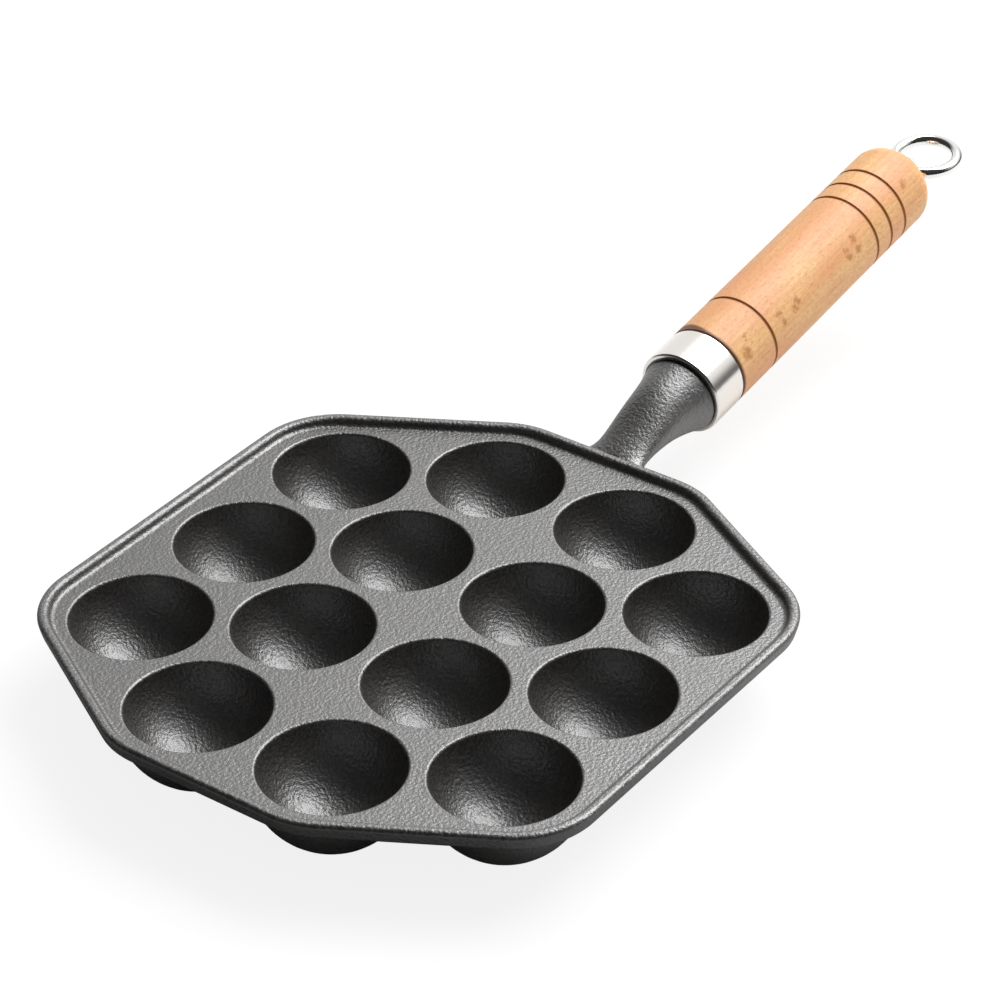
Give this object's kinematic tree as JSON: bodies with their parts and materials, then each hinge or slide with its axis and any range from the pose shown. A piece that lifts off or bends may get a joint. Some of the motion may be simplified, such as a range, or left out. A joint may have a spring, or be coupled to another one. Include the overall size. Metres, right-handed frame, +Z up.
{
  "type": "takoyaki pan",
  "caption": "Cast iron takoyaki pan: cut-corner tray of half-ball cups with flat feet, flared neck, steel ferrule, turned wooden handle and a free hanging ring.",
  "frame": {"origin": "under the middle of the pan's whole length, on the plane of the cups' flat feet", "axes": "+X from the tray towards the handle, +Y to the left of the handle, +Z up"},
  "size_m": [0.4021, 0.1944, 0.0616],
  "materials": {
    "iron": "fine pebbled cast skin, dark grey",
    "ferrule_steel": "polished stainless steel",
    "beech": "sanded beech with burnt grooves",
    "bolt_steel": "zinc plated steel",
    "ring_chrome": "nickel plated wire"
  },
  "bodies": {
    "pan": {"cast_pan": "iron", "ferrule": "ferrule_steel", "wooden_handle": "beech", "eye_bolt": "bolt_steel", "end_washer": "bolt_steel"},
    "ring": {"hanging_ring": "ring_chrome"}
  },
  "joints": [
    {"name": "ring_swing", "type": "hinge", "parent": "pan", "child": "ring", "pos_m": [0.17847, 0, 0.04861], "axis": [0, 1, 0], "range_deg": [-114, 109]}
  ]
}
